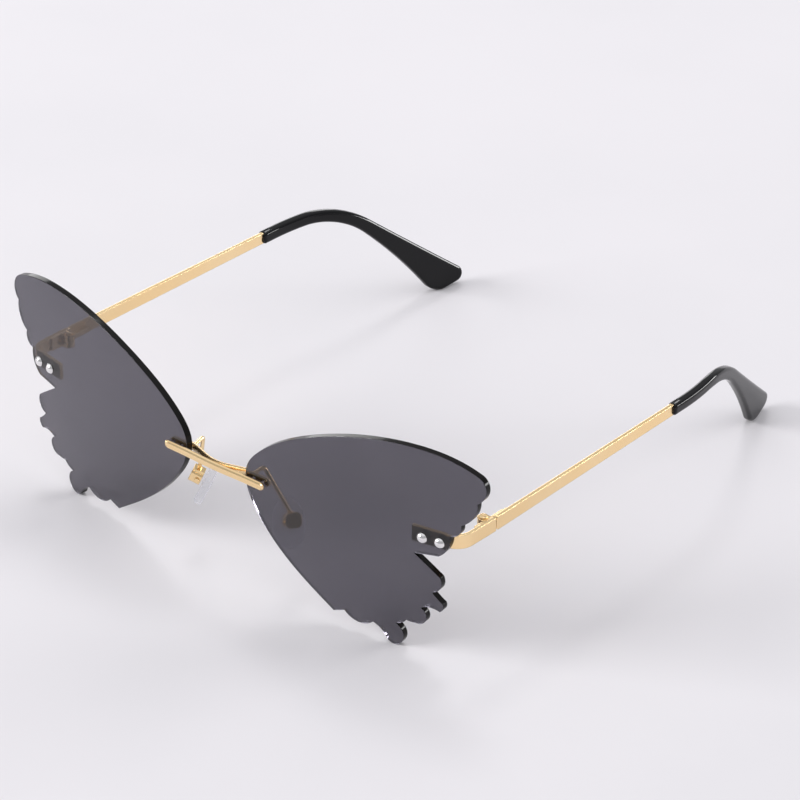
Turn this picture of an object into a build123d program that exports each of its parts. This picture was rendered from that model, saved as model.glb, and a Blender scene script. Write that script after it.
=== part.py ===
from build123d import *
import math
import os

# Butterfly sunglasses without rims: two tinted lenses cut like butterfly wings, a metal bridge
# that grips their inner ends, nose pads on wire arms, end pieces behind the outer ends and two
# folding temples with plastic tips. Lengths are millimetres and angles are degrees.
# Everything is modelled as worn: the lenses face -Y, the wearer's left is +X, the temples run
# level along +Y at z = 0, and y = 0 is where the middle of each lens lies. The left side is
# modelled and the right side mirrors it. At the end the whole is stood on its lens tails and
# temple tips, with z = 0 under them and the origin at the middle of that footprint.

# Driving sizes
lens_width = 64.0
lens_height = 52.6
lens_thickness = 1.6
lens_front_radius = 264.0
lens_gap = 17.8
lens_drop = 4.7
face_form_angle = 7.2
strip_outset = 3.88
seam_setback = 18.1
temple_splay_angle = 1.4
temple_length = 65.3
temple_end_height = 2.7
strip_height = 3.4
strip_thickness = 0.9
seam_gap = 0.2

# Clearances, and one overrun for every cut
seat_clearance = 0.08
running_clearance = 0.05
moving_clearance = 0.3
overrun = 5.0

# Wing outline of a lens: shares of its width from the inner end and of its height from the
# tail's foot. One smooth curve runs from the last scallop round the inner end to the wing's point.
smooth_edge_shares = (
    (0.202, 0.226),
    (0.062, 0.403),
    (0.006, 0.540),
    (0.006, 0.616),
    (0.067, 0.721),
    (0.273, 0.875),
    (0.498, 0.966),
    (0.723, 1.0),
    (0.889, 0.979),
    (0.973, 0.943),
)
# Each scallop of the outer and lower edge is an arc: the point that it passes, then its end.
scallop_shares = (
    ((1.0, 0.892), (0.970, 0.825)),
    ((0.963, 0.766), (0.911, 0.703)),
    ((0.908, 0.663), (0.872, 0.637)),
    ((0.861, 0.567), (0.827, 0.523)),
    ((0.780, 0.515), (0.730, 0.506)),
    ((0.783, 0.462), (0.834, 0.418)),
    ((0.839, 0.380), (0.802, 0.335)),
    ((0.822, 0.310), (0.844, 0.289)),
    ((0.845, 0.266), (0.830, 0.245)),
    ((0.789, 0.253), (0.755, 0.238)),
    ((0.777, 0.190), (0.733, 0.150)),
    ((0.714, 0.148), (0.695, 0.150)),
    ((0.680, 0.131), (0.650, 0.116)),
    ((0.681, 0.061), (0.672, 0.025)),
    ((0.639, 0.0), (0.606, 0.030)),
    ((0.580, 0.065), (0.555, 0.080)),
    ((0.502, 0.051), (0.434, 0.087)),
    ((0.411, 0.075), (0.386, 0.064)),
)
# Where the tail touches the ground, and how far out the edge lies on the level of the screws.
tail_foot_share = (0.639, 0.0)
screw_edge_share = 0.864

# Screws through the lens and their end piece
screw_spacing = 4.4
screw_edge_distance = 2.2
screw_head_radius = 1.3
screw_head_height = 0.75
screw_shank_radius = 0.55
plate_length = 8.6
plate_height = 3.9
plate_overhang = 1.1
end_bend_radius = 4.0

# Bridge: two rounded bars that grip both lenses and meet in the middle
bridge_reach = 15.2
bridge_height = 1.7
bar_thickness = 1.0
bar_edge_radius = 0.45
bridge_drop = 1.35
bridge_waist = 3.8
bridge_bow = 0.5
bridge_bend_radius = 10.0
pin_radius = 0.45
pin_spacing = 2.6
pin_end_distance = 1.5
pin_head_radius = 0.75
pin_head_height = 0.25

# Nose pads, their rounded boxes and wire arms
arm_wire_radius = 0.5
arm_start_distance = 9.4
arm_apex_distance = 9.7
arm_back_reach = 3.4
arm_rise = 0.65
arm_bend_radius = 1.2
pad_box_distance = 15.1
pad_box_setback = 7.5
pad_box_drop = 14.3
pad_splay_angle = 30.0
pad_flare_angle = 25.0
box_width = 3.8
box_height = 3.6
box_depth = 2.8
box_radius = 2.1
box_wall = 0.7
boss_height = 1.8
pad_width = 7.6
pad_height = 12.0
pad_drop = 0.8
pad_thickness = 1.9
pad_edge_radius = 0.8
pad_gap = 0.7
pad_pin_radius = 0.4
pad_pin_setback = 0.85
pad_pin_head_radius = 0.65
pad_pin_head_height = 0.3

# Hinge between an end piece and its temple
barrel_radius = 1.35
barrel_stand = 0.2
hinge_lead = 1.8
ear_thickness = 1.0
hinge_leaf_thickness = 0.5
front_leaf_length = 3.0
rear_leaf_length = 4.6
rear_leaf_height = 2.8
hinge_screw_radius = 0.5
hinge_head_radius = 1.05
hinge_head_height = 0.35
hinge_slot_width = 0.25
temple_corner_radius = 0.7

# Temple tip: a sleeve that bends down and inward and flares into a paddle
tip_thickness = 2.4
tip_height = 3.0
tip_bend_start = 14.0
tip_top_radius = 29.7
tip_top_angle = 39.5
tip_back_radius = 1840.0
tip_back_angle = 1.13
tip_bottom_radius = 24.9
tip_bottom_angle = 44.0
tip_belly_radius = 130.0
tip_belly_angle = 12.8
tip_foot_radius = 5.5
tip_heel_radius = 2.2
tip_foot_setback = 7.8
tip_inward_start = 11.9
tip_inward_radius = 66.0
tip_inward_angle = 13.5
tip_lean_angle = 6.0
tip_edge_radius = 0.8
core_radius = 0.6
core_entry = 3.0
core_bend_reach = 23.4
core_end_reach = 44.0
core_end_drop = 17.8
core_bend_radius = 22.0

half_gap = lens_gap / 2
lens_back_radius = lens_front_radius - lens_thickness


def cosine(angle):
    """Cosine of an angle in degrees."""
    return math.cos(math.radians(angle))


def sine(angle):
    """Sine of an angle in degrees."""
    return math.sin(math.radians(angle))


def tangent(angle):
    """Tangent of an angle in degrees."""
    return math.tan(math.radians(angle))


# The lens has its own plane at its middle: x outward, y up and z forward.
lens_plane = Plane(
    origin=(half_gap + lens_width / 2, 0, -lens_drop),
    x_dir=(cosine(face_form_angle), sine(face_form_angle), 0),
    z_dir=(sine(face_form_angle), -cosine(face_form_angle), 0),
)
lens_curve_centre = Vector(0, 0, -lens_front_radius)


def lens_point(shares):
    """Point in the lens's plane at shares of its width and height."""
    across_share, up_share = shares
    return Vector((across_share - 1 / 2) * lens_width, (up_share - 1 / 2) * lens_height)


def on_lens(across, up, depth):
    """Plane square to the lens, `depth` behind its front face, in the lens's own plane."""
    lift = math.sqrt(lens_front_radius**2 - across**2 - up**2)
    normal = Vector(across, up, lift).normalized()
    origin = lens_curve_centre + normal * (lens_front_radius - depth)
    return Plane(origin=origin, x_dir=(normal.Z, 0, -normal.X), z_dir=normal)


def as_worn(plane):
    """Plane given in the lens's own plane, moved to where the glasses are worn."""
    origin = lens_plane.from_local_coords(plane.origin)
    x_dir = lens_plane.from_local_coords(plane.origin + plane.x_dir) - origin
    z_dir = lens_plane.from_local_coords(plane.origin + plane.z_dir) - origin
    return Plane(origin=origin, x_dir=x_dir, z_dir=z_dir)


# The screws sit in from the lens edge at their height, on the hinge's level.
outer_screw_across = (screw_edge_share - 1 / 2) * lens_width - screw_edge_distance
screw_places = {
    "outer": (outer_screw_across, lens_drop),
    "inner": (outer_screw_across - screw_spacing, lens_drop),
}
plate_across = outer_screw_across + plate_overhang - plate_length / 2
pin_places = {
    "outer": bridge_reach - pin_end_distance,
    "inner": bridge_reach - pin_end_distance - pin_spacing,
}


def wing_face():
    """Butterfly wing outline of a lens in its own plane."""
    wing_point = lens_point(smooth_edge_shares[-1])
    edges = []
    corner = wing_point
    for middle_shares, end_shares in scallop_shares:
        end = lens_point(end_shares)
        edges.append(ThreePointArc(corner, lens_point(middle_shares), end))
        corner = end
    edges.append(Spline(corner, *[lens_point(shares) for shares in smooth_edge_shares]))
    return make_face(edges)


def lens():
    """Curved lens with the holes for its screws and for the bridge's pins."""
    prism = extrude(wing_face(), amount=overrun, both=True)
    shell = Sphere(lens_front_radius) - Sphere(lens_back_radius)
    body = prism & (Pos(lens_curve_centre) * Rot(90, 0, 0) * shell)
    screw_hole = Cylinder(screw_shank_radius + running_clearance, 2 * overrun)
    for across, up in screw_places.values():
        body -= on_lens(across, up, 0).location * screw_hole
    body = lens_plane.location * body
    pin_hole = Rot(90, 0, 0) * Cylinder(pin_radius + running_clearance, 4 * overrun)
    for distance in pin_places.values():
        body -= Pos(distance, 0, -bridge_drop) * pin_hole
    return body


def lens_surface_y(distance, depth):
    """Where the lens surface lies, `depth` behind its front, beside the bridge's bars."""
    centre = lens_plane.from_local_coords(lens_curve_centre)
    radius = lens_front_radius - depth
    reach = math.sqrt(radius**2 - (distance - centre.X) ** 2 - (bridge_drop + centre.Z) ** 2)
    return centre.Y - reach


bar_seats = (half_gap, bridge_reach)
front_bar_y = min(lens_surface_y(seat, 0) for seat in bar_seats) - seat_clearance - bar_thickness / 2
back_bar_y = max(lens_surface_y(seat, lens_thickness) for seat in bar_seats)
back_bar_y += seat_clearance + bar_thickness / 2
front_middle_y = front_bar_y - bridge_bow
back_middle_y = front_middle_y + bar_thickness


def bridge_bar(leaf_y, middle_y):
    """One bar of the bridge with round ends and holes for the pins."""
    path = FilletPolyline(
        (-bridge_reach, leaf_y),
        (-half_gap, leaf_y),
        (-bridge_waist / 2, middle_y),
        (bridge_waist / 2, middle_y),
        (half_gap, leaf_y),
        (bridge_reach, leaf_y),
        radius=bridge_bend_radius,
    )
    band = extrude(trace(path, bar_thickness), amount=bridge_height / 2, both=True)
    profile = Plane.XZ * SlotOverall(2 * bridge_reach, bridge_height)
    bar = band & extrude(profile, amount=overrun, both=True)
    bar = Pos(0, 0, -bridge_drop) * fillet(bar.edges(), bar_edge_radius)
    for pin in bridge_pins().values():
        bar -= pin
        bar -= mirror(pin, about=Plane.YZ)
    return bar


def bridge_pins():
    """Pins from the front bar through lens and back bar, each with a rivet head behind."""
    low = (Align.CENTER, Align.CENTER, Align.MIN)
    length = back_bar_y + bar_thickness / 2 - front_bar_y
    shank = Cylinder(pin_radius, length, align=low)
    head = Pos(0, 0, length) * Cylinder(pin_head_radius, pin_head_height, align=low)
    pins = {}
    for name, distance in pin_places.items():
        pins[name] = Pos(distance, front_bar_y, -bridge_drop) * Rot(-90, 0, 0) * (shank + head)
    return pins


def lens_screw(across, up):
    """Screw with a domed head on the lens and its shank through lens and end piece."""
    dome_radius = (screw_head_radius**2 + screw_head_height**2) / (2 * screw_head_height)
    dome = Pos(0, 0, screw_head_height - dome_radius) * Sphere(dome_radius)
    low = (Align.CENTER, Align.CENTER, Align.MIN)
    head = dome & Cylinder(screw_head_radius, screw_head_height, align=low)
    length = lens_thickness + 2 * seat_clearance + strip_thickness
    shank = Cylinder(screw_shank_radius, length, align=(Align.CENTER, Align.CENTER, Align.MAX))
    seat = as_worn(on_lens(across, up, -seat_clearance))
    return seat.location * (head + shank)


strip_middle_x = as_worn(on_lens(outer_screw_across, lens_drop, 0)).origin.X + strip_outset
strip_inner_x = strip_middle_x - strip_thickness / 2
hinge_x = strip_inner_x - barrel_stand - barrel_radius
hinge_y = seam_setback - hinge_lead


def end_piece():
    """Plate behind the lens that steps past its edge and bends back to the hinge."""
    depth = lens_thickness + seat_clearance + strip_thickness / 2
    seat = as_worn(on_lens(plate_across, lens_drop, depth))
    inner = seat.origin - seat.x_dir * plate_length / 2
    outer = seat.origin + seat.x_dir * plate_length / 2
    corner = seat.origin + seat.x_dir * ((strip_middle_x - seat.origin.X) / seat.x_dir.X)
    path = FilletPolyline(
        (inner.X, inner.Y),
        (corner.X, corner.Y),
        (strip_middle_x, seam_setback - seam_gap),
        radius=end_bend_radius,
    )
    strip = extrude(trace(path, strip_thickness), amount=strip_height / 2, both=True)
    plate_line = Line((inner.X, inner.Y), (outer.X, outer.Y))
    plate = extrude(trace(plate_line, strip_thickness), amount=plate_height / 2, both=True)
    piece = strip + plate
    for place in screw_places.values():
        piece -= lens_screw(*place)
    return piece


def box_between(low, high):
    """Box between two corners."""
    middle = (Vector(*low) + Vector(*high)) / 2
    size = Vector(*high) - Vector(*low)
    return Pos(middle) * Box(size.X, size.Y, size.Z)


def hinge_barrel():
    """Leaf on the inside of the end piece with an upper and a lower ear for the screw."""
    half_height = strip_height / 2
    leaf_end = hinge_y - barrel_radius
    leaf = box_between(
        (strip_inner_x - hinge_leaf_thickness, leaf_end - front_leaf_length, -half_height),
        (strip_inner_x, leaf_end, half_height),
    )
    ear = Pos(hinge_x, hinge_y, 0) * Cylinder(barrel_radius, strip_height)
    ear += box_between(
        (hinge_x, hinge_y - barrel_radius, -half_height),
        (strip_inner_x, hinge_y + barrel_radius, half_height),
    )
    gap_half = half_height - ear_thickness
    ear -= box_between(
        (hinge_x - overrun, hinge_y - overrun, -gap_half),
        (hinge_x + overrun, hinge_y + overrun, gap_half),
    )
    return leaf + ear - hinge_screw()


def hinge_screw():
    """Slotted screw down through both ears and the tongue between them."""
    low = (Align.CENTER, Align.CENTER, Align.MIN)
    shank = Pos(0, 0, -strip_height / 2) * Cylinder(hinge_screw_radius, strip_height, align=low)
    head = Cylinder(hinge_head_radius, hinge_head_height, align=low)
    slot = Box(overrun, hinge_slot_width, hinge_head_height)
    head -= Pos(0, 0, hinge_head_height) * slot
    return Pos(hinge_x, hinge_y, 0) * (shank + Pos(0, 0, strip_height / 2) * head)


# Temples are modelled parallel to +Y and then turned inward about the hinge by their splay.
def turned_inward(piece):
    """Piece of a temple turned inward about the hinge by the temple's splay."""
    to_hinge = Pos(hinge_x, hinge_y, 0)
    return to_hinge * Rot(0, 0, temple_splay_angle) * to_hinge.inverse() * piece


def hinge_tongue():
    """Leaf on the inside of the temple whose knuckle turns between the ears."""
    half_height = strip_height / 2 - ear_thickness - running_clearance
    leaf_start = seam_setback + moving_clearance
    knuckle = Pos(hinge_x, hinge_y, 0) * Cylinder(barrel_radius, 2 * half_height)
    arm = box_between(
        (hinge_x, hinge_y, -half_height),
        (strip_inner_x - barrel_stand, leaf_start + rear_leaf_length, half_height),
    )
    leaf = box_between(
        (strip_inner_x - hinge_leaf_thickness, leaf_start, -rear_leaf_height / 2),
        (strip_inner_x, leaf_start + rear_leaf_length, rear_leaf_height / 2),
    )
    bore = Pos(hinge_x, hinge_y, 0) * Cylinder(hinge_screw_radius + running_clearance, strip_height)
    return turned_inward(knuckle + arm + leaf - bore)


def temple_core():
    """Round core that runs on from the temple's strip inside its tip."""
    bend_inward = (core_bend_reach - tip_inward_start) * tangent(tip_inward_angle)
    end_inward = (core_end_reach - tip_inward_start) * tangent(tip_inward_angle)
    end_inward += core_end_drop * tangent(tip_lean_angle)
    path = FilletPolyline(
        (0, core_entry, 0),
        (0, tip_inward_start, 0),
        (-bend_inward, core_bend_reach, 0),
        (-end_inward, core_end_reach, -core_end_drop),
        radius=core_bend_radius,
    )
    section = Plane(origin=path @ 0, z_dir=path % 0) * Circle(core_radius)
    return sweep(section, path=path)


def plain_temple():
    """Flat strip, tapering to the tip, with rounded front corners and a round core."""
    strip_end = temple_length + core_entry
    outline = Polyline(
        (0, -strip_height / 2),
        (strip_end, -temple_end_height / 2),
        (strip_end, temple_end_height / 2),
        (0, strip_height / 2),
        close=True,
    )
    side = make_face(outline)
    side = fillet(side.vertices().sort_by(Axis.X)[:2], temple_corner_radius)
    strip = extrude(Plane.YZ * side, amount=strip_thickness / 2, both=True)
    strip += Pos(0, temple_length, 0) * temple_core()
    return Pos(strip_middle_x, seam_setback, 0) * strip


def temple():
    """Temple strip with its core, without the plastic tip."""
    return turned_inward(plain_temple())


def tip_side():
    """Side outline of a temple tip: level sleeve, bend down, flared paddle with a round foot."""
    half_height = tip_height / 2
    mouth = Line((0, -half_height), (0, half_height))
    top = Line((0, half_height), (tip_bend_start, half_height))
    top_bend = JernArc(top @ 1, top % 1, tip_top_radius, -tip_top_angle)
    back = JernArc(top_bend @ 1, top_bend % 1, tip_back_radius, tip_back_angle)
    bottom = Line((0, -half_height), (tip_bend_start, -half_height))
    bottom_bend = JernArc(bottom @ 1, bottom % 1, tip_bottom_radius, -tip_bottom_angle)
    belly = JernArc(bottom_bend @ 1, bottom_bend % 1, tip_belly_radius, -tip_belly_angle)
    toe = Line(back @ 1, belly @ 1)
    side = make_face([mouth, top, top_bend, back, toe, belly, bottom_bend, bottom])
    for corner, radius in ((back @ 1, tip_heel_radius), (belly @ 1, tip_foot_radius)):
        side = fillet(side.vertices().sort_by_distance(corner)[0], radius)
    return side


tip_outline = tip_side().bounding_box()


def temple_tip():
    """Plastic tip on the end of a temple, cut to fit over the strip and its core."""
    reach = tip_outline.max.X
    side = extrude(Plane.YZ * tip_side(), amount=reach, both=True)
    run = reach - tip_inward_start + overrun
    plan = FilletPolyline(
        (0, 0),
        (0, tip_inward_start),
        (-run * tangent(tip_inward_angle), tip_inward_start + run),
        radius=tip_inward_radius,
    )
    wall = extrude(trace(plan, tip_thickness), amount=reach, both=True)
    tip = side & (Rot(0, tip_lean_angle, 0) * wall)
    tip = fillet(tip.edges(), tip_edge_radius)
    place = Pos(strip_middle_x, seam_setback + temple_length, 0)
    return turned_inward(place * (tip - place.inverse() * plain_temple()))


# A nose pad's plane: x along its width, y up and z towards the nose.
pad_plane = Plane(
    origin=(pad_box_distance, pad_box_setback, -pad_box_drop),
    x_dir=(-sine(pad_splay_angle), -cosine(pad_splay_angle), 0),
    z_dir=(
        -cosine(pad_splay_angle) * cosine(pad_flare_angle),
        sine(pad_splay_angle) * cosine(pad_flare_angle),
        -sine(pad_flare_angle),
    ),
)
pad_pin_height = -box_wall / 2
pad_pin_depth = box_depth / 2 - pad_pin_setback


def pad_pin():
    """Pin across the box that the nose pad rocks on."""
    shank = Cylinder(pad_pin_radius, box_width)
    low = (Align.CENTER, Align.CENTER, Align.MIN)
    head = Pos(0, 0, box_width / 2) * Cylinder(pad_pin_head_radius, pad_pin_head_height, align=low)
    return pad_plane.location * Pos(0, pad_pin_height, pad_pin_depth) * Rot(0, 90, 0) * (shank + head)


def pad_box():
    """Open box with rounded corners that holds the nose pad's boss between two walls."""
    roof = box_height / 2 - box_wall
    slot = box_between(
        (-box_width / 2 + box_wall, -box_height, -box_depth / 2 + box_wall),
        (box_width / 2 - box_wall, roof, box_depth),
    )
    box = (Box(box_width, box_height, box_depth) & Cylinder(box_radius, box_depth)) - slot
    return pad_plane.location * box - pad_pin()


def nose_pad():
    """Oval pad with a boss that turns on the pin in the box."""
    low = (Align.CENTER, Align.CENTER, Align.MIN)
    oval = extrude(Ellipse(pad_width / 2, pad_height / 2), amount=pad_thickness)
    oval = fillet(oval.edges(), pad_edge_radius)
    pad_back = box_depth / 2 + pad_gap
    boss_width = box_width - 2 * box_wall - 2 * running_clearance
    boss_radius = boss_height / 2
    knuckle = Rot(0, 90, 0) * Cylinder(boss_radius, boss_width)
    neck = Box(boss_width, boss_height, pad_back - pad_pin_depth + pad_edge_radius, align=low)
    boss = Pos(0, pad_pin_height, pad_pin_depth) * (knuckle + neck)
    bore = Rot(0, 90, 0) * Cylinder(pad_pin_radius + running_clearance, box_width)
    boss -= Pos(0, pad_pin_height, pad_pin_depth) * bore
    return pad_plane.location * (Pos(0, -pad_drop, pad_back) * oval + boss)


def pad_arm():
    """Wire arm from the back of the bridge, up and over, down to the roof of the box."""
    start = Vector(arm_start_distance, back_bar_y + bar_thickness / 2, -bridge_drop)
    apex = Vector(arm_apex_distance, start.Y + arm_back_reach, start.Z + arm_rise)
    end = pad_plane.from_local_coords(Vector(0, box_height / 2 - box_wall / 2, 0))
    path = FilletPolyline(start, apex, end, radius=arm_bend_radius)
    section = Plane(origin=start, z_dir=path % 0) * Circle(arm_wire_radius)
    wire = sweep(section, path=path)
    return wire - pad_box() - bridge_bar(back_bar_y, back_middle_y)


def left_pieces():
    """Every piece of the wearer's left side, by name."""
    pieces = {
        "lens": lens(),
        "end_piece": end_piece(),
        "hinge_barrel": hinge_barrel(),
        "hinge_screw": hinge_screw(),
        "hinge_tongue": hinge_tongue(),
        "temple": temple(),
        "temple_tip": temple_tip(),
        "pad_arm": pad_arm(),
        "pad_box": pad_box(),
        "pad_pin": pad_pin(),
        "nose_pad": nose_pad(),
    }
    for name, place in screw_places.items():
        pieces[f"lens_screw_{name}"] = lens_screw(*place)
    for name, pin in bridge_pins().items():
        pieces[f"bridge_pin_{name}"] = pin
    return pieces


def worn_pieces():
    """Every piece of the glasses as worn, by node name."""
    pieces = {
        "bridge_front_bar": bridge_bar(front_bar_y, front_middle_y),
        "bridge_back_bar": bridge_bar(back_bar_y, back_middle_y),
    }
    for name, piece in left_pieces().items():
        pieces[f"{name}_left"] = piece
        pieces[f"{name}_right"] = mirror(piece, about=Plane.YZ)
    return pieces


def stand(pieces):
    """Location that stands the glasses on their lens tails and temple tips."""
    tail = lens_plane.from_local_coords(lens_point(tail_foot_share))
    run = seam_setback + temple_length + tip_outline.max.X - tip_foot_setback - tail.Y
    tail_low = pieces["lens_left"].bounding_box().min.Z
    tip_low = pieces["temple_tip_left"].bounding_box().min.Z
    lean_back = Rot(-math.degrees(math.atan2(tip_low - tail_low, run)), 0, 0)
    boxes = [(lean_back * piece).bounding_box() for piece in pieces.values()]
    front = min(box.min.Y for box in boxes)
    rear = max(box.max.Y for box in boxes)
    low = min(box.min.Z for box in boxes)
    return Pos(0, -(front + rear) / 2, -low) * lean_back


pieces = worn_pieces()
standing = stand(pieces)
os.makedirs("parts", exist_ok=True)
for name, piece in pieces.items():
    export_step(standing * piece, f"parts/{name}.step")

hinge_frame = Plane(origin=(hinge_x, hinge_y, 0), z_dir=(0, 0, 1))
pin_origin = pad_plane.from_local_coords(Vector(0, pad_pin_height, pad_pin_depth))
pin_frame = Plane(origin=pin_origin, z_dir=pad_plane.x_dir)
for name, frame in (("hinge_left", hinge_frame), ("pad_pin_left", pin_frame)):
    place = Plane(standing * frame.location)
    print(name, "at", tuple(place.origin), "along", tuple(place.z_dir))
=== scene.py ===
"""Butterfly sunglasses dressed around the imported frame, on a pale floor under soft studio light.

Every size is in metres and every place is in the row frame, as the CAD has them.
"""
import logging
import math
from dataclasses import dataclass
from enum import Enum

import bmesh
import bpy
from mathutils import Matrix, Vector


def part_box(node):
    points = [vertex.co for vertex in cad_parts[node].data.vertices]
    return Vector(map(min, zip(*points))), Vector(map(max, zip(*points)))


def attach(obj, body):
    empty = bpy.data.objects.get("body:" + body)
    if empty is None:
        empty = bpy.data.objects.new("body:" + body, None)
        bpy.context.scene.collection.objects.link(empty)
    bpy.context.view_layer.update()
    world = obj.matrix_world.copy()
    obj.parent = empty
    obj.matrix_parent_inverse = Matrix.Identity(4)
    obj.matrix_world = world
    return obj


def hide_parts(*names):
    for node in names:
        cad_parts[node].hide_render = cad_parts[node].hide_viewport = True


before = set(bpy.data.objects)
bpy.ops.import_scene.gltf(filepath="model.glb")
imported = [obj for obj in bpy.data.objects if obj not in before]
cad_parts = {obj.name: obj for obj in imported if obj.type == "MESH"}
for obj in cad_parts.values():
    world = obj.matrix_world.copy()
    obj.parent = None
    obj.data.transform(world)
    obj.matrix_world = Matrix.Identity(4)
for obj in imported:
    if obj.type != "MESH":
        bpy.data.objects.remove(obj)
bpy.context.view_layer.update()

log = logging.getLogger("sunglasses")
MM = 0.001
EDGE_SAMPLES = 40
Colour = tuple[float, float, float]
Point = tuple[float, float, float]


class Side(Enum):
    """The wearer's two sides, as the names of their nodes end."""

    LEFT = "left"
    RIGHT = "right"


class Signal:
    """A shader value that Python's own operators combine through Math nodes."""

    def __init__(self, recipe: "Recipe", socket: bpy.types.NodeSocket) -> None:
        """Wraps one output socket.

        Args:
            recipe: The material that the socket belongs to.
            socket: The output socket.
        """
        self.recipe = recipe
        self.socket = socket

    def _maths(self, operation: str, first: "Signal | float", second: "Signal | float") -> "Signal":
        """Adds one Math node.

        Args:
            operation: Its operation.
            first: The first operand.
            second: The second operand.

        Returns:
            The node's value.
        """
        return self.recipe.node("ShaderNodeMath", {"operation": operation}, {0: first, 1: second})

    def __add__(self, other: "Signal | float") -> "Signal":
        """self + other."""
        return self._maths("ADD", self, other)

    def __radd__(self, other: float) -> "Signal":
        """other + self."""
        return self._maths("ADD", other, self)

    def __sub__(self, other: "Signal | float") -> "Signal":
        """self - other."""
        return self._maths("SUBTRACT", self, other)

    def __rsub__(self, other: float) -> "Signal":
        """other - self."""
        return self._maths("SUBTRACT", other, self)

    def __mul__(self, other: "Signal | float") -> "Signal":
        """self * other."""
        return self._maths("MULTIPLY", self, other)

    def __rmul__(self, other: float) -> "Signal":
        """other * self."""
        return self._maths("MULTIPLY", other, self)

    def __abs__(self) -> "Signal":
        """The value without its sign."""
        return self._maths("ABSOLUTE", self, 0.0)


class Recipe:
    """Builds the nodes of one material or of the world."""

    def __init__(self, owner: bpy.types.Material | bpy.types.World) -> None:
        """Starts with no nodes.

        Args:
            owner: The material or world that the nodes belong to.
        """
        self.owner = owner
        owner.use_nodes = True
        self.tree = owner.node_tree
        self.tree.nodes.clear()

    @classmethod
    def of_finish(cls, name: str) -> "Recipe":
        """A recipe for a new material of this name."""
        return cls(bpy.data.materials.new(name))

    def node(self, kind: str, settings: dict | None = None, inputs: dict | None = None,
             output: int | str = 0) -> Signal:
        """Adds a node of any type.

        Args:
            kind: The node's type.
            settings: Its properties, set first.
            inputs: Values or links of its sockets, by name or number.
            output: The output socket that is handed back.

        Returns:
            The chosen output.
        """
        made = self.tree.nodes.new(kind)
        for key, value in (settings or {}).items():
            setattr(made, key, value)
        for key, value in (inputs or {}).items():
            if isinstance(value, Signal):
                self.tree.links.new(value.socket, made.inputs[key])
            elif isinstance(value, tuple) and len(value) == 3 and made.inputs[key].type == "RGBA":
                made.inputs[key].default_value = (*value, 1.0)
            else:
                made.inputs[key].default_value = value
        return Signal(self, made.outputs[output])

    def place(self) -> Signal:
        """The point on the piece, in metres of its own frame."""
        return self.node("ShaderNodeTexCoord", output="Object")

    def noise(self, scale: float, detail: float = 2.0,
              stretch: Point = (1.0, 1.0, 1.0)) -> Signal:
        """A soft random pattern on object coordinates.

        Args:
            scale: Its scale in 1/m.
            detail: How many finer layers it has.
            stretch: How much the pattern is squeezed along each axis.

        Returns:
            A value about 0.5.
        """
        mapped = self.node("ShaderNodeMapping", {}, {"Vector": self.place(), "Scale": stretch})
        return self.node("ShaderNodeTexNoise", {},
                         {"Vector": mapped, "Scale": scale, "Detail": detail})

    def steps(self, value: Signal, low: float, high: float) -> Signal:
        """A soft step from 0 to 1.

        Args:
            value: What is looked at.
            low: Where the step starts.
            high: Where it ends.

        Returns:
            The step's value.
        """
        return self.node("ShaderNodeMapRange", {"interpolation_type": "SMOOTHSTEP"},
                         {"Value": value, "From Min": low, "From Max": high})

    def blend(self, share: Signal, first: "Colour | Signal", second: "Colour | Signal") -> Signal:
        """Mixes two colours.

        Args:
            share: 0 for the first, 1 for the second.
            first: The first colour.
            second: The second colour.

        Returns:
            The mixed colour.
        """
        return self.node("ShaderNodeMix", {"data_type": "RGBA"},
                         {0: share, 6: first, 7: second}, output=2)

    def eased(self, radius: float) -> Signal:
        """The normal as if every sharp edge were rounded by this radius in metres."""
        return self.node("ShaderNodeBevel", {"samples": EDGE_SAMPLES}, {"Radius": radius})

    def bump(self, height: Signal, depth: float, strength: float, normal: Signal) -> Signal:
        """A bumped normal.

        Args:
            height: The height, from 0 to 1.
            depth: How many metres a height of 1 stands for.
            strength: How much of it shows.
            normal: The normal that is bumped.

        Returns:
            The normal.
        """
        return self.node("ShaderNodeBump", {}, {"Height": height, "Distance": depth,
                                                "Strength": strength, "Normal": normal})

    def shader(self, **sockets: "Signal | float | Colour") -> Signal:
        """A Principled BSDF.

        Args:
            sockets: Its sockets, with _ for a space in their names.

        Returns:
            The shader.
        """
        named = {key.replace("_", " "): value for key, value in sockets.items()}
        return self.node("ShaderNodeBsdfPrincipled", {}, named)

    def mix(self, share: Signal, first: Signal, second: Signal) -> Signal:
        """Mixes two shaders.

        Args:
            share: 0 for the first, 1 for the second.
            first: The first shader.
            second: The second shader.

        Returns:
            The mixed shader.
        """
        return self.node("ShaderNodeMixShader", {}, {0: share, 1: first, 2: second})

    def finish(self, shader: Signal, kind: str = "ShaderNodeOutputMaterial") -> bpy.types.ID:
        """Ends the recipe in a shader.

        Args:
            shader: The shader.
            kind: The type of the output node.

        Returns:
            The finished material or world.
        """
        out = self.tree.nodes.new(kind)
        self.tree.links.new(shader.socket, out.inputs["Surface"])
        return self.owner


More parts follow.
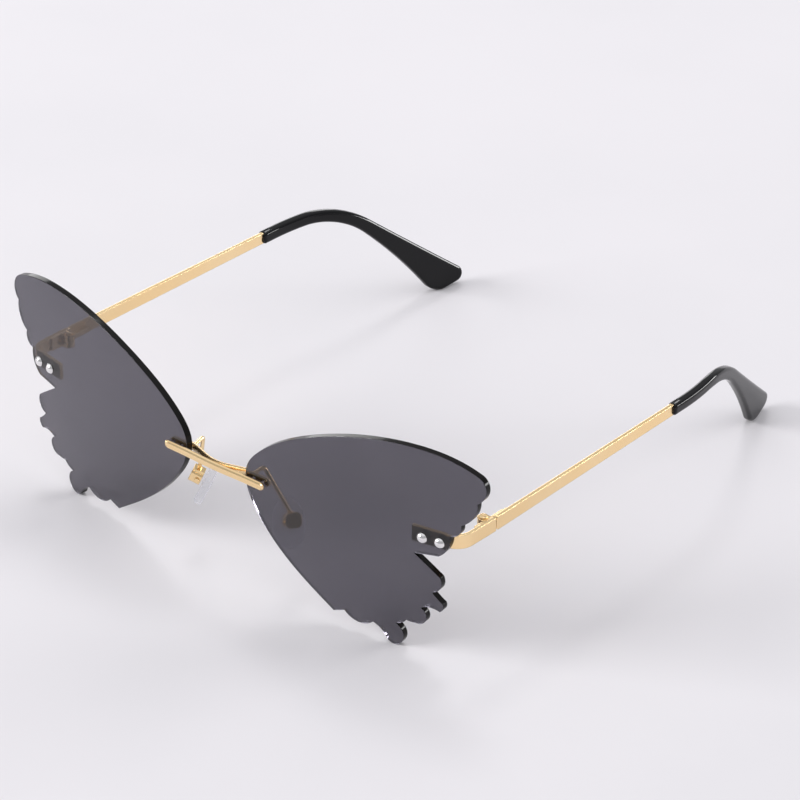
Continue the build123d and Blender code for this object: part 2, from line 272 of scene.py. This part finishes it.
@dataclass(frozen=True)
class PolishedGold:
    """Light gold plating: polished smooth, with a faint cloudiness and hairlines from handling."""

    colour: Colour = (1.0, 0.755, 0.43)
    cloudy: Colour = (1.0, 0.725, 0.38)
    roughness: float = 0.19
    edge_radius: float = 0.24 * MM
    cloud_scale: float = 70.0
    cloud_start: float = 0.35
    cloud_end: float = 0.75
    cloud_roughness: float = 0.05
    hairline_scale: float = 2600.0
    hairline_stretch: Point = (1.0, 0.04, 1.0)
    hairline_roughness: float = 0.05
    hairline_depth: float = 0.002 * MM
    hairline_strength: float = 0.1

    def material(self) -> bpy.types.Material:
        """Builds the finish.

        Returns:
            The material.
        """
        recipe = Recipe.of_finish("light_gold_plating")
        cloud = recipe.noise(self.cloud_scale)
        hairlines = recipe.noise(self.hairline_scale, stretch=self.hairline_stretch)
        clouded = recipe.steps(cloud, self.cloud_start, self.cloud_end)
        return recipe.finish(recipe.shader(
            Base_Color=recipe.blend(clouded, self.colour, self.cloudy),
            Metallic=1.0,
            Roughness=(self.roughness + self.cloud_roughness * cloud
                       + self.hairline_roughness * hairlines),
            Normal=recipe.bump(hairlines, self.hairline_depth, self.hairline_strength,
                               recipe.eased(self.edge_radius)),
        ))


@dataclass(frozen=True)
class TintedSheet:
    """Dark grey lens sheet that is seen through, with a polished cut edge that is near black."""

    colour: Colour = (0.109, 0.103, 0.126)
    smudged: Colour = (0.118, 0.111, 0.134)
    gloss: float = 0.20
    ior: float = 1.5
    smudge_scale: float = 60.0
    smudge_detail: float = 3.0
    smudge_start: float = 0.45
    smudge_end: float = 0.75
    smudge_roughness: float = 0.004
    face_start: float = 0.72
    face_end: float = 0.92
    edge_colour: Colour = (0.006, 0.005, 0.005)
    edge_radius: float = 0.25 * MM
    edge_roughness: float = 0.10
    edge_smudge_roughness: float = 0.05
    edge_gloss: float = 0.14

    def material(self) -> bpy.types.Material:
        """Builds the finish.

        Returns:
            The material.
        """
        recipe = Recipe.of_finish("tinted_lens_sheet")
        normal = recipe.node("ShaderNodeTexCoord", output="Normal")
        across = recipe.node("ShaderNodeSeparateXYZ", {}, {"Vector": normal}, output="Y")
        inside = recipe.node("ShaderNodeNewGeometry", output="Backfacing")
        face = recipe.steps(abs(across), self.face_start, self.face_end)
        edge = (1 - face) * (1 - inside)
        smears = recipe.noise(self.smudge_scale, self.smudge_detail)
        smudge = recipe.steps(smears, self.smudge_start, self.smudge_end)
        rounded = recipe.eased(self.edge_radius)
        sheet = recipe.shader(
            Base_Color=recipe.blend(smudge, self.colour, self.smudged),
            Roughness=self.smudge_roughness * smudge,
            Transmission_Weight=1.0,
            IOR=self.ior,
            Specular_IOR_Level=self.gloss,
            Normal=rounded,
        )
        cut = recipe.shader(
            Base_Color=self.edge_colour,
            Roughness=self.edge_roughness + self.edge_smudge_roughness * smudge,
            Specular_IOR_Level=self.edge_gloss,
            Normal=rounded,
        )
        return recipe.finish(recipe.mix(edge, sheet, cut))


@dataclass(frozen=True)
class PolishedSteel:
    """Bright steel of the lens screws, with the fine grain of turning."""

    colour: Colour = (0.90, 0.89, 0.88)
    grainy: Colour = (0.80, 0.79, 0.79)
    roughness: float = 0.08
    grain_scale: float = 3000.0
    grain_roughness: float = 0.08

    def material(self) -> bpy.types.Material:
        """Builds the finish.

        Returns:
            The material.
        """
        recipe = Recipe.of_finish("polished_screw_steel")
        grain = recipe.noise(self.grain_scale)
        return recipe.finish(recipe.shader(
            Base_Color=recipe.blend(grain, self.colour, self.grainy),
            Metallic=1.0,
            Roughness=self.roughness + self.grain_roughness * grain,
        ))


@dataclass(frozen=True)
class BlackAcetate:
    """Glossy black plastic of the temple tips."""

    colour: Colour = (0.002, 0.002, 0.0025)
    worn: Colour = (0.004, 0.004, 0.005)
    roughness: float = 0.06
    gloss: float = 0.27
    ior: float = 1.49
    edge_radius: float = 0.7 * MM
    smear_scale: float = 140.0
    smear_detail: float = 4.0
    smear_start: float = 0.45
    smear_end: float = 0.75
    smear_roughness: float = 0.06
    smear_depth: float = 0.01 * MM
    smear_strength: float = 0.1

    def material(self) -> bpy.types.Material:
        """Builds the finish.

        Returns:
            The material.
        """
        recipe = Recipe.of_finish("black_tip_plastic")
        smear = recipe.noise(self.smear_scale, self.smear_detail)
        dull = recipe.steps(smear, self.smear_start, self.smear_end)
        return recipe.finish(recipe.shader(
            Base_Color=recipe.blend(smear, self.colour, self.worn),
            Roughness=self.roughness + self.smear_roughness * dull,
            IOR=self.ior,
            Specular_IOR_Level=self.gloss,
            Normal=recipe.bump(smear, self.smear_depth, self.smear_strength,
                               recipe.eased(self.edge_radius)),
        ))


@dataclass(frozen=True)
class ClearPad:
    """Clear soft plastic of the nose pads, denser where it is seen edge on."""

    colour: Colour = (0.74, 0.77, 0.92)
    hazy: Colour = (0.86, 0.88, 0.95)
    roughness: float = 0.12
    ior: float = 1.45
    alpha: float = 0.10
    haze_scale: float = 260.0
    haze_roughness: float = 0.10
    haze_alpha: float = 0.05
    rim_blend: float = 0.35
    rim_start: float = 0.35
    rim_end: float = 0.95
    rim_alpha: float = 0.50

    def material(self) -> bpy.types.Material:
        """Builds the finish.

        Returns:
            The material.
        """
        recipe = Recipe.of_finish("clear_pad_plastic")
        facing = recipe.node("ShaderNodeLayerWeight", {}, {"Blend": self.rim_blend},
                             output="Facing")
        rim = recipe.steps(facing, self.rim_start, self.rim_end)
        haze = recipe.noise(self.haze_scale)
        return recipe.finish(recipe.shader(
            Base_Color=recipe.blend(haze, self.colour, self.hazy),
            Roughness=self.roughness + self.haze_roughness * haze,
            Alpha=self.alpha + self.haze_alpha * haze + self.rim_alpha * rim,
            IOR=self.ior,
        ))


@dataclass
class SubAssembly:
    """Pieces that are dressed together."""

    def dress(self, node: str, material: bpy.types.Material) -> None:
        """Gives a CAD node its finish.

        Args:
            node: The node's name.
            material: The finish.
        """
        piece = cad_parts[node]
        piece.data.materials.clear()
        piece.data.materials.append(material)
        log.info("dressed %s in %s", node, material.name)

    def piece(self, name: str, mesh: bmesh.types.BMesh,
              material: bpy.types.Material) -> bpy.types.Object:
        """Makes an object of a finished mesh.

        Args:
            name: The piece's name.
            mesh: Its mesh, which is freed.
            material: Its finish.

        Returns:
            The object.
        """
        for face in mesh.faces:
            face.smooth = True
        data = bpy.data.meshes.new(name)
        mesh.to_mesh(data)
        mesh.free()
        data.materials.append(material)
        made = bpy.data.objects.new(name, data)
        bpy.context.scene.collection.objects.link(made)
        log.info("built %s in %s", name, material.name)
        return made

    def dress_both(self, stem: str, material: bpy.types.Material) -> None:
        """Gives a node of each side its finish.

        Args:
            stem: The nodes' shared name, without the side.
            material: The finish.
        """
        for side in Side:
            self.dress(f"{stem}_{side.value}", material)


@dataclass
class Lenses(SubAssembly):
    """The two winged lenses and the domed screws through them."""

    def build(self, sheet: bpy.types.Material, steel: bpy.types.Material) -> None:
        """Dresses the lenses.

        Args:
            sheet: The tinted sheet's finish.
            steel: The screws' finish.
        """
        self.dress_both("lens", sheet)
        self.dress_both("lens_screw_outer", steel)
        self.dress_both("lens_screw_inner", steel)


@dataclass
class Bridge(SubAssembly):
    """The two bars of the bridge, rolled to an oval section and domed at their ends."""

    reach: float = 15.2 * MM
    lens_gap_half: float = 8.9 * MM
    waist_half: float = 1.9 * MM
    bend_reach: float = 1.8 * MM
    cad_thickness: float = 1.0 * MM
    thickness: float = 1.2 * MM
    height: float = 2.1 * MM
    fullness: float = 0.95
    ring_points: int = 40
    dome_steps: int = 7
    run_steps: int = 44

    def centre(self, x: float, middle_y: float, leaf_y: float) -> float:
        """How far back the bar's middle line lies.

        Args:
            x: The place along the bar.
            middle_y: The line's place at the middle of the bridge.
            leaf_y: Its place on the lenses.

        Returns:
            The line's y.
        """
        start, end = self.waist_half - self.bend_reach, self.lens_gap_half + self.bend_reach
        share = min(max((abs(x) - start) / (end - start), 0.0), 1.0)
        return middle_y + (leaf_y - middle_y) * share * share * (3 - 2 * share)

    def stations(self) -> list[tuple[float, float]]:
        """Works out where the bar's sections stand.

        Returns:
            Each section's x and its share of the full section.
        """
        radius = self.height / 2
        turns = [math.pi / 2 * step / self.dome_steps for step in range(1, self.dome_steps + 1)]
        start = [(-self.reach + radius * (1 - math.cos(turn)), math.sin(turn)) for turn in turns]
        inner = self.reach - radius
        run = [(inner * (2 * step / self.run_steps - 1), 1.0) for step in range(1, self.run_steps)]
        return start + run + [(-x, share) for x, share in reversed(start)]

    def section(self, mesh: bmesh.types.BMesh) -> list[bmesh.types.BMVert]:
        """Draws the oval section at a size of 1, facing along the bar.

        Args:
            mesh: The mesh that it is drawn in.

        Returns:
            Its points.
        """
        ring = bmesh.ops.create_circle(mesh, cap_ends=True, segments=self.ring_points, radius=1 / 2,
                                       matrix=Matrix.Rotation(math.pi / 2, 4, "Y"))["verts"]
        for vert in ring:
            vert.co = Vector(math.copysign(abs(2 * part) ** self.fullness, part) / 2
                             for part in vert.co)
        return ring

    def bar(self, node: str, middle_y: float, leaf_y: float, gold: bpy.types.Material) -> None:
        """Sweeps one bar and puts it in its node's place.

        Args:
            node: The CAD bar's name.
            middle_y: The middle line's y at the middle of the bridge.
            leaf_y: Its y on the lenses.
            gold: The plating's finish.
        """
        low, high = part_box(node)
        middle_z = (low[2] + high[2]) / 2
        places = self.stations()
        mesh = bmesh.new()
        ring = self.section(mesh)
        x, share = places[0]
        bmesh.ops.scale(mesh, verts=ring, vec=(1.0, self.thickness * share, self.height * share))
        here = Vector((x, self.centre(x, middle_y, leaf_y), middle_z))
        bmesh.ops.translate(mesh, verts=ring, vec=here)
        cap = mesh.faces[:][0]
        for x, next_share in places[1:]:
            grown = bmesh.ops.extrude_face_region(mesh, geom=[cap])["geom"]
            cap = next(item for item in grown if isinstance(item, bmesh.types.BMFace))
            there = Vector((x, self.centre(x, middle_y, leaf_y), middle_z))
            bmesh.ops.translate(mesh, verts=cap.verts[:], vec=there - here)
            factor = next_share / share
            bmesh.ops.scale(mesh, verts=cap.verts[:], vec=(1.0, factor, factor),
                            space=Matrix.Translation(-there))
            here, share = there, next_share
        bmesh.ops.recalc_face_normals(mesh, faces=mesh.faces[:])
        piece = self.piece(f"rolled_{node}", mesh, gold)
        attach(piece, "frame")
        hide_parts(node)

    def build(self, gold: bpy.types.Material) -> None:
        """Makes both bars.

        The front bar stays within the depth of the CAD bar. The back bar keeps the CAD bar's front
        face and grows backwards.

        Args:
            gold: The plating's finish.
        """
        half = self.thickness / 2
        front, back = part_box("bridge_front_bar"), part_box("bridge_back_bar")
        self.bar("bridge_front_bar", front[0][1] + half, front[1][1] - half, gold)
        back_leaf_y = back[1][1] - self.cad_thickness + half
        self.bar("bridge_back_bar", back[0][1] + half, back_leaf_y, gold)


@dataclass
class Metalwork(SubAssembly):
    """The end pieces, the hinges, the temples' strips and the nose pads' arms and boxes."""

    stems: tuple[str, ...] = (
        "end_piece", "hinge_barrel", "hinge_screw", "hinge_tongue", "temple",
        "pad_arm", "pad_box", "pad_pin", "bridge_pin_outer", "bridge_pin_inner",
    )

    def build(self, gold: bpy.types.Material) -> None:
        """Dresses the metal.

        Args:
            gold: The plating's finish.
        """
        for stem in self.stems:
            self.dress_both(stem, gold)


@dataclass
class Tips(SubAssembly):
    """The black temple tips."""

    def build(self, plastic: bpy.types.Material) -> None:
        """Dresses the tips."""
        self.dress_both("temple_tip", plastic)


@dataclass
class NosePads(SubAssembly):
    """The clear nose pads."""

    def build(self, plastic: bpy.types.Material) -> None:
        """Dresses the pads."""
        self.dress_both("nose_pad", plastic)


def place_around(name: str, data: bpy.types.Light | bpy.types.Camera, azimuth: float,
                 elevation: float, distance: float,
                 target: Point = (0.0, 0.0, 0.0)) -> bpy.types.Object:
    """Puts a lamp or a camera at an angle around a point, and faces it there.

    Args:
        name: The object's name.
        data: The lamp's or camera's data.
        azimuth: Its angle in degrees, from the front of the glasses towards the wearer's left.
        elevation: Its angle in degrees above the floor.
        distance: How far it is from the point.
        target: The point.

    Returns:
        The object.
    """
    turn, rise = math.radians(azimuth), math.radians(elevation)
    level = math.cos(rise)
    back = Vector((math.sin(turn) * level, -math.cos(turn) * level, math.sin(rise)))
    made = bpy.data.objects.new(name, data)
    made.location = Vector(target) + back * distance
    made.rotation_euler = back.to_track_quat("Z", "Y").to_euler()
    bpy.context.scene.collection.objects.link(made)
    log.info("placed %s", name)
    return made


@dataclass(frozen=True)
class SoftLamp:
    """One soft box that faces the glasses, with its angles in degrees and its power in watts."""

    name: str
    azimuth: float
    elevation: float
    width: float
    height: float
    power: float
    distance: float = 2.6

    def build(self) -> None:
        """Hangs the lamp."""
        data = bpy.data.lights.new(self.name, "AREA")
        data.shape = "RECTANGLE"
        data.size = self.width
        data.size_y = self.height
        data.energy = self.power
        place_around(self.name, data, self.azimuth, self.elevation, self.distance)


@dataclass
class Studio:
    """A pale floor in a room that is bright overhead and dimmer at the sides, with soft boxes."""

    floor_reach: float = 3.0
    floor_colour: Colour = (0.79, 0.765, 0.79)
    floor_shade: Colour = (0.76, 0.74, 0.765)
    floor_roughness: float = 0.85
    shade_scale: float = 9.0
    shade_detail: float = 4.0
    shade_start: float = 0.35
    shade_end: float = 0.75
    room_colour: Colour = (0.94, 0.95, 0.98)
    side_strength: float = 0.46
    overhead_strength: float = 0.875
    side_height: float = 0.45
    overhead_height: float = 0.9
    lamps: tuple[SoftLamp, ...] = (
        SoftLamp("high_back_box", 221.0, 56.0, 0.60, 0.60, 8.0),
        SoftLamp("low_back_box", 148.0, 10.0, 1.80, 0.40, 38.0),
        SoftLamp("low_front_box", 318.0, 25.0, 1.40, 0.90, 40.0),
        SoftLamp("low_side_box", 229.0, 10.0, 1.20, 1.00, 9.0),
    )

    def floor(self) -> None:
        """Lays the floor."""
        mesh = bmesh.new()
        bmesh.ops.create_grid(mesh, x_segments=1, y_segments=1, size=self.floor_reach)
        data = bpy.data.meshes.new("floor")
        mesh.to_mesh(data)
        mesh.free()
        floor = bpy.data.objects.new("floor", data)
        bpy.context.scene.collection.objects.link(floor)
        recipe = Recipe.of_finish("pale_floor")
        cloud = recipe.noise(self.shade_scale, self.shade_detail)
        shade = recipe.steps(cloud, self.shade_start, self.shade_end)
        data.materials.append(recipe.finish(recipe.shader(
            Base_Color=recipe.blend(shade, self.floor_colour, self.floor_shade),
            Roughness=self.floor_roughness,
        )))

    def room(self) -> None:
        """Surrounds the scene with soft light from overhead."""
        world = bpy.data.worlds.new("studio")
        bpy.context.scene.world = world
        recipe = Recipe(world)
        towards = recipe.node("ShaderNodeTexCoord", output="Generated")
        height = recipe.node("ShaderNodeSeparateXYZ", {}, {"Vector": towards}, output="Z")
        overhead = recipe.steps(height, self.side_height, self.overhead_height)
        sides, top = (
            recipe.node("ShaderNodeBackground", {},
                        {"Color": self.room_colour, "Strength": strength})
            for strength in (self.side_strength, self.overhead_strength))
        recipe.finish(recipe.mix(overhead, sides, top), "ShaderNodeOutputWorld")

    def build(self) -> None:
        """Sets the studio up."""
        self.floor()
        self.room()
        for lamp in self.lamps:
            lamp.build()
        bpy.context.scene.view_settings.view_transform = "Standard"
        log.info("studio ready")


@dataclass
class PhotoCamera:
    """The camera at the photograph's angle, as it was fitted to the picture."""

    azimuth: float = 40.847
    elevation: float = 30.250
    target: Point = (0.008988, -0.017518, 0.0263)
    distance: float = 1.090167
    sensor: float = 36.0
    focal_pixels: float = 4667.987
    picture_pixels: float = 800.0
    clip_start: float = 0.01

    def build(self) -> None:
        """Places the camera."""
        data = bpy.data.cameras.new("photo_camera")
        data.sensor_width = self.sensor
        data.lens = self.focal_pixels / self.picture_pixels * self.sensor
        data.clip_start = self.clip_start
        bpy.context.scene.camera = place_around(
            data.name, data, self.azimuth, self.elevation, self.distance, self.target)


def main() -> None:
    """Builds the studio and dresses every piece."""
    logging.basicConfig(level=logging.INFO)
    PhotoCamera().build()
    Studio().build()
    Lenses().build(TintedSheet().material(), PolishedSteel().material())
    gold = PolishedGold().material()
    Bridge().build(gold)
    Metalwork().build(gold)
    Tips().build(BlackAcetate().material())
    NosePads().build(ClearPad().material())


if __name__ == "__main__":
    main()
